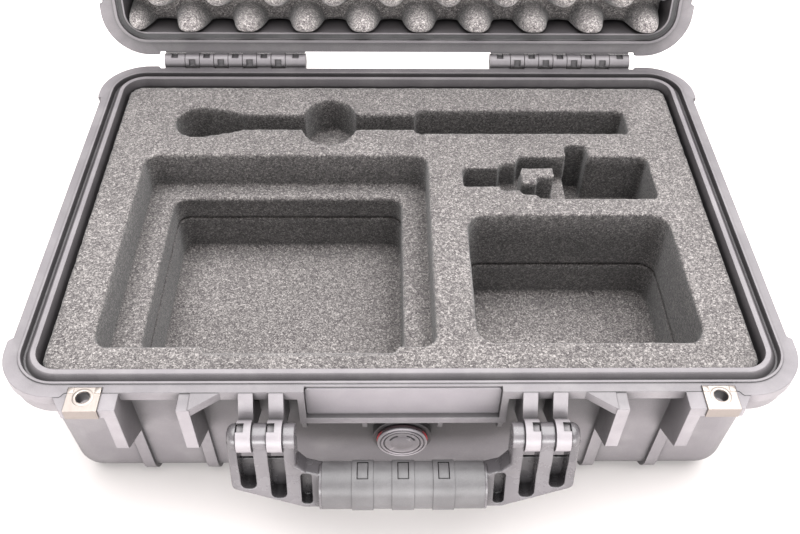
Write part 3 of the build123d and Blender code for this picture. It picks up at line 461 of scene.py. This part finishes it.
def cut_foam(node, name, voxel, soft_edge):
    """A foam layer with the edges that a blade leaves: soft and slightly ragged.

    Below soft_edge under its top it keeps the cut's own shape, so that layers meet.
    """
    piece = new_piece(name, nodes[node].data.copy(), "base", BASE_FOAM)
    remesh = piece.modifiers.new("remesh", "REMESH")
    remesh.mode = "VOXEL"
    remesh.voxel_size = voxel
    soften = piece.modifiers.new("soften", "SMOOTH")
    soften.factor = 0.5
    soften.iterations = 1
    grain = bpy.data.textures.new(name + "_grain", "CLOUDS")
    grain.noise_scale = RAGGED_SIZE
    ragged = piece.modifiers.new("ragged", "DISPLACE")
    ragged.texture = grain
    ragged.texture_coords = "LOCAL"
    ragged.strength = RAGGED_DEPTH
    ragged.mid_level = 0.75
    settle(piece)
    top = max(v.co.z for v in piece.data.vertices)
    firm = piece.vertex_groups.new(name="firm")
    firm.add([v.index for v in piece.data.vertices if v.co.z < top - soft_edge], 1.0, "ADD")
    meet = piece.modifiers.new("meet", "SHRINKWRAP")
    meet.target = nodes[node]
    meet.vertex_group = "firm"
    settle(piece)
    piece.data.shade_smooth()
    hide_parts(node)


cut_foam("foam_upper", "upper_foam_layer", FOAM_VOXEL, SOFT_EDGE)
cut_foam("foam_lower", "lower_foam_layer", LOWER_FOAM_VOXEL, 0.0)


def rounded(x, y, half_x, half_y, radius):
    """A point of a rectangle, moved so that the rectangle's corners become round."""
    inner_x, inner_y = half_x - radius, half_y - radius
    dx = np.clip((np.abs(x) - inner_x) / radius, 0, 1)
    dy = np.clip((np.abs(y) - inner_y) / radius, 0, 1)
    corner = (dx > 0) & (dy > 0)
    new_dx = np.where(corner, dx * np.sqrt(1 - dy * dy / 2), dx)
    new_dy = np.where(corner, dy * np.sqrt(1 - dx * dx / 2), dy)
    new_x = np.where(dx > 0, np.sign(x) * (inner_x + radius * new_dx), x)
    new_y = np.where(dy > 0, np.sign(y) * (inner_y + radius * new_dy), y)
    return new_x, new_y


def egg_height(x, y):
    """0 in the hollows and 1 on the staggered, finger-like tips of convoluted foam."""
    row = np.round((y - EGG_ROW_PHASE) / EGG_ROW_PITCH)
    heights = []
    for near in (row - 1, row, row + 1):
        shift = EGG_PHASE + np.where(near % 2 == 0, 0.0, EGG_PITCH / 2)
        column = np.round((x - shift) / EGG_PITCH)
        away = np.hypot(x - shift - column * EGG_PITCH, y - EGG_ROW_PHASE - near * EGG_ROW_PITCH)
        finger = np.clip(1 - (away / EGG_RADIUS) ** EGG_WAIST, 0, 1)
        foot = EGG_FOOT * np.exp(-((away / EGG_FOOT_RADIUS) ** 2))
        heights.append(finger + (1 - finger) * foot)
    return np.max(heights, axis=0)


def convoluted_foam():
    """The lid's foam, made as on the closed lid and then turned to the open one."""
    hinge = next(j for j in frame["joints"] if j["child"] == "lid")
    pivot = Vector(hinge["pos_m"])
    turn = Matrix.Rotation(math.radians(-hinge["range_deg"][1]), 4, "X")
    to_open = Matrix.Translation(pivot) @ turn @ Matrix.Translation(-pivot)
    to_closed = to_open.inverted()
    points = np.array([to_closed @ v.co for v in nodes["lid_foam"].data.vertices])
    low, high = points.min(axis=0), points.max(axis=0)
    half_x, half_y = (high[0] - low[0]) / 2, (high[1] - low[1]) / 2
    back_z, tip_z = high[2], low[2]
    root_z = back_z - EGG_SHEET
    columns = round(2 * half_x / EGG_STEP) + 1
    rows = round(2 * half_y / EGG_STEP) + 1
    u, v = np.meshgrid(np.linspace(-1, 1, columns), np.linspace(-1, 1, rows))
    x, y = rounded(u * half_x, v * half_y, half_x, half_y, EGG_CORNER)
    z = root_z + (tip_z - root_z) * egg_height(x, y)
    verts = [np.stack([x.ravel(), y.ravel(), z.ravel()], axis=1)]
    index = np.arange(rows * columns).reshape(rows, columns)
    faces = [
        (index[r, c], index[r + 1, c], index[r + 1, c + 1], index[r, c + 1])
        for r in range(rows - 1)
        for c in range(columns - 1)
    ]
    rim = np.concatenate(
        [index[0, :-1], index[:-1, -1], index[-1, :0:-1], index[:0:-1, 0]]
    )
    count = rows * columns
    last = rim
    rim_u, rim_v = u.ravel()[rim], v.ravel()[rim]
    for angle in np.linspace(0, np.pi / 2, EGG_BACK_STEPS):
        inset = EGG_BACK_RADIUS * (1 - math.cos(angle))
        ring_z = back_z - EGG_BACK_RADIUS * (1 - math.sin(angle))
        ring_x, ring_y = rounded(
            rim_u * (half_x - inset),
            rim_v * (half_y - inset),
            half_x - inset,
            half_y - inset,
            EGG_CORNER,
        )
        verts.append(np.stack([ring_x, ring_y, np.full(len(rim), ring_z)], axis=1))
        ring = np.arange(count, count + len(rim))
        count += len(rim)
        faces += [
            (last[n], last[(n + 1) % len(rim)], ring[(n + 1) % len(rim)], ring[n])
            for n in range(len(rim))
        ]
        last = ring
    faces.append(tuple(last))
    mesh = bpy.data.meshes.new("lid_convoluted_foam")
    mesh.from_pydata(np.concatenate(verts).tolist(), [], [tuple(map(int, f)) for f in faces])
    mesh.transform(to_open)
    mesh.validate()
    mesh.update()
    mesh.shade_smooth()
    piece = new_piece("lid_convoluted_foam", mesh, "lid", LID_FOAM)
    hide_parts("lid_foam")


convoluted_foam()


# Small pieces


def joint_turn(name, degrees):
    """A turn about a joint's axis, from where the part is at rest."""
    joint = next(j for j in frame["joints"] if j["name"] == name)
    pivot = Vector(joint["pos_m"])
    turn = Matrix.Rotation(math.radians(degrees), 4, "X")
    return Matrix.Translation(pivot) @ turn @ Matrix.Translation(-pivot)


def joint_limits(name):
    """A joint's lowest and highest angle in degrees."""
    return next(j["range_deg"] for j in frame["joints"] if j["name"] == name)


def rounded_piece(name, verts, faces, body, finish, edge, turn=None):
    """A closed mesh with rounded edges, made where it hangs straight and then turned."""
    mesh = bpy.data.meshes.new(name)
    mesh.from_pydata(verts, [], faces)
    if turn:
        mesh.transform(turn)
    piece = new_piece(name, mesh, body, finish)
    if edge:
        bevel = piece.modifiers.new("round", "BEVEL")
        bevel.width = edge
        bevel.segments = 2
        bevel.limit_method = "ANGLE"
        settle(piece)
    piece.data.shade_smooth()
    piece.data.set_sharp_from_angle(angle=math.radians(40))
    return piece


def block(low, high):
    """The corners and faces of a box."""
    verts = [
        (x, y, z)
        for x in (low[0], high[0])
        for y in (low[1], high[1])
        for z in (low[2], high[2])
    ]
    faces = [(0, 1, 3, 2), (4, 6, 7, 5), (0, 4, 5, 1), (2, 3, 7, 6), (0, 2, 6, 4), (1, 5, 7, 3)]
    return verts, faces


def blocks(boxes):
    """The corners and faces of several boxes as one mesh."""
    verts, faces = [], []
    for low, high in boxes:
        more, sides = block(low, high)
        faces += [tuple(len(verts) + n for n in side) for side in sides]
        verts += more
    return verts, faces


def stations(loops):
    """A closed mesh through loops of as many points each, capped at both ends."""
    count = len(loops[0])
    verts = [point for loop in loops for point in loop]
    faces = []
    for n in range(len(loops) - 1):
        for k in range(count):
            a, b = n * count + k, n * count + (k + 1) % count
            faces.append((a, b, b + count, a + count))
    faces.append(tuple(range(count))[::-1])
    faces.append(tuple(range(len(verts) - count, len(verts))))
    return verts, faces


PIVOT_Y, PIVOT_Z = next(j for j in frame["joints"] if j["name"] == "handle_swing")["pos_m"][1:]
HANDLE_TURN = joint_turn("handle_swing", joint_limits("handle_swing")[0])

# Pads that close the windows in the grip's bands
GRIP_DROP = 40.0 * MM
GRIP_TOP = 14.0 * MM
GRIP_ROUND = 11.3 * MM
GRIP_FLAT = 0.7 * MM
PAD_GROWTH = 0.35 * MM
PAD_DEPTH = 2.2 * MM
PAD_HALF_WIDTH = 2.95 * MM
PAD_HALF_LENGTH = 5.65 * MM
PAD_SHIFT = 1.2 * MM
PAD_PITCH = 23.35 * MM
PAD_STEPS = 13
PAD_EDGE = 0.4 * MM


def grip_pads():
    """Curved pads that follow the grip's round top."""
    for name, x in (("left", -PAD_PITCH), ("middle", 0.0), ("right", PAD_PITCH)):
        loops = []
        for along in np.linspace(-1, 1, PAD_STEPS):
            across = along * PAD_HALF_LENGTH - PAD_SHIFT
            over = math.copysign(max(abs(across) - GRIP_FLAT, 0), across)
            angle = math.asin(over / (GRIP_ROUND + PAD_GROWTH))
            points = []
            for radius in (GRIP_ROUND + PAD_GROWTH, GRIP_ROUND + PAD_GROWTH - PAD_DEPTH):
                y = PIVOT_Y + across - over + radius * math.sin(angle)
                z = PIVOT_Z - GRIP_DROP + GRIP_TOP - GRIP_ROUND + radius * math.cos(angle)
                points.append((y, z))
            (y0, z0), (y1, z1) = points
            loops.append(
                [
                    (x - PAD_HALF_WIDTH, y0, z0),
                    (x + PAD_HALF_WIDTH, y0, z0),
                    (x + PAD_HALF_WIDTH, y1, z1),
                    (x - PAD_HALF_WIDTH, y1, z1),
                ]
            )
        verts, faces = stations(loops)
        rounded_piece(
            "grip_pad_" + name, verts, faces, "handle", GRIP_RUBBER,
            PAD_EDGE, HANDLE_TURN,
        )


grip_pads()

# Webs that close the backs of the slots in the handle's arms
ARM_BACK = 6.05 * MM
WEB_THICKNESS = 1.5 * MM
WEB_TOP = 22.0 * MM
ARM_SLOTS = ((66.6, 76.6, 44.8), (83.6, 93.6, 37.3))  # inner side, outer side, foot, in mm


def slot_webs():
    """Thin webs across both slots of each arm."""
    for name, side in (("left", -1), ("right", 1)):
        boxes = []
        for inner, outer, depth in ARM_SLOTS:
            near, far = sorted((side * inner * MM, side * outer * MM))
            back = PIVOT_Y + ARM_BACK
            boxes.append(
                (
                    (near, back - WEB_THICKNESS, PIVOT_Z - depth * MM),
                    (far, back, PIVOT_Z - WEB_TOP),
                )
            )
        verts, faces = blocks(boxes)
        rounded_piece(
            "slot_webs_" + name, verts, faces, "handle", HANDLE_PLASTIC,
            0.0, HANDLE_TURN,
        )


slot_webs()

# Fillets between the lid's rim and its hinge knuckles
LEAF_FRONT = 157.3 * MM
LEAF_BACK = 159.5 * MM
LEAF_LOW = 119.1 * MM
LEAF_TOP = 125.6 * MM
HINGE_X = 130.0 * MM
HINGE_HALF = 55.6 * MM
LEAF_EDGE = 0.6 * MM


def hinge_leaves():
    """Strips made on the closed lid and turned to the open one."""
    turn = joint_turn("lid_hinge", -joint_limits("lid_hinge")[1])
    for name, side in (("left", -1), ("right", 1)):
        verts, faces = block(
            (side * HINGE_X - HINGE_HALF, LEAF_FRONT, LEAF_LOW),
            (side * HINGE_X + HINGE_HALF, LEAF_BACK, LEAF_TOP),
        )
        rounded_piece(
            "hinge_leaf_" + name, verts, faces, "lid", SHELL_PLASTIC,
            LEAF_EDGE, turn,
        )


hinge_leaves()

# Raised rings and folded corners on the padlock plates
PLATE_HOLE = 4.0 * MM
PLATE_RING = 5.9 * MM
RING_INNER_SLOPE = 0.4 * MM
RING_OUTER_SLOPE = 0.6 * MM
RING_HEIGHT = 0.3 * MM
RING_SIDES = 48
TAB_WIDTH = 3.4 * MM
TAB_LENGTH = 4.2 * MM
TAB_EDGE = 0.2 * MM
HOLE_FROM_BACK = 6.7 * MM


RING_PROFILE = (
    (PLATE_HOLE, -RING_HEIGHT),
    (PLATE_HOLE, 0.6 * RING_HEIGHT),
    (PLATE_HOLE + RING_INNER_SLOPE, RING_HEIGHT),
    (PLATE_RING - RING_OUTER_SLOPE, RING_HEIGHT),
    (PLATE_RING, 0.3 * RING_HEIGHT),
    (PLATE_RING, -RING_HEIGHT),
)


def plate_trim():
    """A ring round the hole of each plate of the base, and two tabs at its back edge."""
    for name in ("left", "right"):
        low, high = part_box("base_padlock_plate_" + name)
        centre = ((low[0] + high[0]) / 2, high[1] - HOLE_FROM_BACK)
        loops = []
        for turn in np.linspace(0, 2 * np.pi, RING_SIDES + 1)[:-1]:
            loop = []
            for radius, height in RING_PROFILE:
                x = centre[0] + radius * math.cos(turn)
                y = centre[1] + radius * math.sin(turn)
                loop.append((x, y, high[2] + height))
            loops.append(loop)
        count = len(loops[0])
        verts = [point for loop in loops for point in loop]
        faces = []
        for n in range(len(loops)):
            m = (n + 1) % len(loops)
            for k in range(count):
                j = (k + 1) % count
                faces.append((n * count + k, m * count + k, m * count + j, n * count + j))
        rounded_piece("plate_ring_" + name, verts, faces, "base", STEEL, 0.0)
        boxes = []
        for x0, x1 in ((low[0], low[0] + TAB_WIDTH), (high[0] - TAB_WIDTH, high[0])):
            corner = (x0, high[1] - TAB_LENGTH, high[2] - RING_HEIGHT)
            boxes.append((corner, (x1, high[1], high[2] + RING_HEIGHT)))
        verts, faces = blocks(boxes)
        rounded_piece("plate_tabs_" + name, verts, faces, "base", STEEL, TAB_EDGE)


plate_trim()

# The valve's cap: rings, and two arc slots round its raised centre
CAP_STEPS = (
    (6.0, 4.5), (6.5, 4.1), (7.0, 4.0), (7.1, 4.0), (7.2, 4.0), (8.5, 4.0), (8.6, 4.0),
    (8.7, 4.0), (10.6, 4.0), (10.8, 3.2), (11.4, 3.2), (11.6, 4.2), (12.8, 4.2),
    (13.0, 3.4), (13.6, 3.4), (13.8, 4.1), (14.7, 4.1), (15.2, 3.7), (15.2, 2.95),
    (12.3, 2.95), (12.3, 0.05),
)
CAP_SLOT = (7.15, 8.55)
CAP_SLOT_DEPTH = 1.3
CAP_SLOT_ARCS = ((20.0, 68.0), (112.0, 160.0))
CAP_SIDES = 180


def valve_cap():
    """The cap turned from its steps, (radius, height from the wall) in mm."""
    low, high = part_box("valve_cap")
    x0, z0, back = (low[0] + high[0]) / 2, (low[2] + high[2]) / 2, high[1]
    loops = []
    for n in range(CAP_SIDES):
        degrees = 360.0 * n / CAP_SIDES
        slotted = any(start <= degrees <= end for start, end in CAP_SLOT_ARCS)
        loop = []
        for radius, height in CAP_STEPS:
            if slotted and CAP_SLOT[0] < radius < CAP_SLOT[1]:
                height -= CAP_SLOT_DEPTH
            x = x0 + radius * MM * math.cos(math.radians(degrees))
            z = z0 + radius * MM * math.sin(math.radians(degrees))
            loop.append((x, back - height * MM, z))
        loops.append(loop)
    count = len(loops[0])
    verts = [point for loop in loops for point in loop]
    faces = []
    for n in range(CAP_SIDES):
        m = (n + 1) % CAP_SIDES
        for k in range(count - 1):
            faces.append((n * count + k, n * count + k + 1, m * count + k + 1, m * count + k))
    faces.append(tuple(n * count for n in range(CAP_SIDES)))
    faces.append(tuple(n * count + count - 1 for n in range(CAP_SIDES))[::-1])
    piece = rounded_piece(
        "valve_cap_face", verts, faces, "base", VALVE_PLASTIC, 0.0
    )
    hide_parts("valve_cap")


valve_cap()


# Camera, floor and light


def place_camera():
    """The camera that sees the case as the photograph does."""
    pitch, yaw, roll = map(math.radians, (CAMERA_PITCH, CAMERA_YAW, CAMERA_ROLL))
    turn = Matrix.Rotation(yaw, 3, "Z")
    forward = turn @ Vector((0, math.cos(pitch), -math.sin(pitch)))
    level_up = turn @ Vector((0, math.sin(pitch), math.cos(pitch)))
    level_right = turn @ Vector((1, 0, 0))
    right = math.cos(roll) * level_right + math.sin(roll) * level_up
    up = -math.sin(roll) * level_right + math.cos(roll) * level_up
    data = bpy.data.cameras.new("camera")
    data.sensor_width = CAMERA_SENSOR
    data.lens = CAMERA_LENS
    camera = bpy.data.objects.new("camera", data)
    bpy.context.scene.collection.objects.link(camera)
    axes = Matrix((right, up, -forward)).transposed().to_4x4()
    camera.matrix_world = Matrix.Translation(Vector(CAMERA_PLACE) * MM) @ axes
    bpy.context.scene.camera = camera


def lay_floor():
    """A plain pale floor that gives back more light far from the case."""
    mesh = bpy.data.meshes.new("floor")
    h = FLOOR_HALF
    mesh.from_pydata([(-h, -h, 0), (h, -h, 0), (h, h, 0), (-h, h, 0)], [], [(0, 1, 2, 3)])
    floor = bpy.data.objects.new("floor", mesh)
    bpy.context.scene.collection.objects.link(floor)
    tree = Tree("white_paper")
    away = tree.nodes.new("ShaderNodeVectorMath")
    away.operation = "LENGTH"
    tree.join(tree.place, away, 0)
    tree.put(
        Base_Color=(0.49, 0.46, 0.452, 1.0),
        Roughness=0.9,
        Specular_IOR_Level=0.1,
        Emission_Color=(1.0, 0.99, 0.985, 1.0),
        Emission_Strength=tree.remap(away.outputs["Value"], *TABLE_GLOW_REACH, *TABLE_GLOW),
    )
    mesh.materials.append(tree.material)


def hang_lights():
    """Soft light from above and from the front, and a white room."""
    data = bpy.data.lights.new("overhead", "SUN")
    data.energy = SUN_STRENGTH
    data.angle = math.radians(SUN_SPREAD)
    sun = bpy.data.objects.new("overhead", data)
    sun.rotation_euler = (math.radians(SUN_TILT_X), math.radians(SUN_TILT_Y), 0)
    bpy.context.scene.collection.objects.link(sun)
    data = bpy.data.lights.new("front_fill", "AREA")
    data.energy = FILL_POWER
    data.shape = "RECTANGLE"
    data.size, data.size_y = FILL_SIZE
    fill = bpy.data.objects.new("front_fill", data)
    fill.location = FILL_PLACE
    fill.rotation_euler = (math.radians(90), 0, 0)
    fill.visible_camera = False
    bpy.context.scene.collection.objects.link(fill)
    world = bpy.data.worlds.new("white_room")
    bpy.context.scene.world = world
    world.use_nodes = True
    background = world.node_tree.nodes["Background"]
    background.inputs["Color"].default_value = (1.0, 0.99, 0.985, 1.0)
    background.inputs["Strength"].default_value = SKY_STRENGTH
    bpy.context.scene.view_settings.view_transform = "Standard"


place_camera()
lay_floor()
hang_lights()
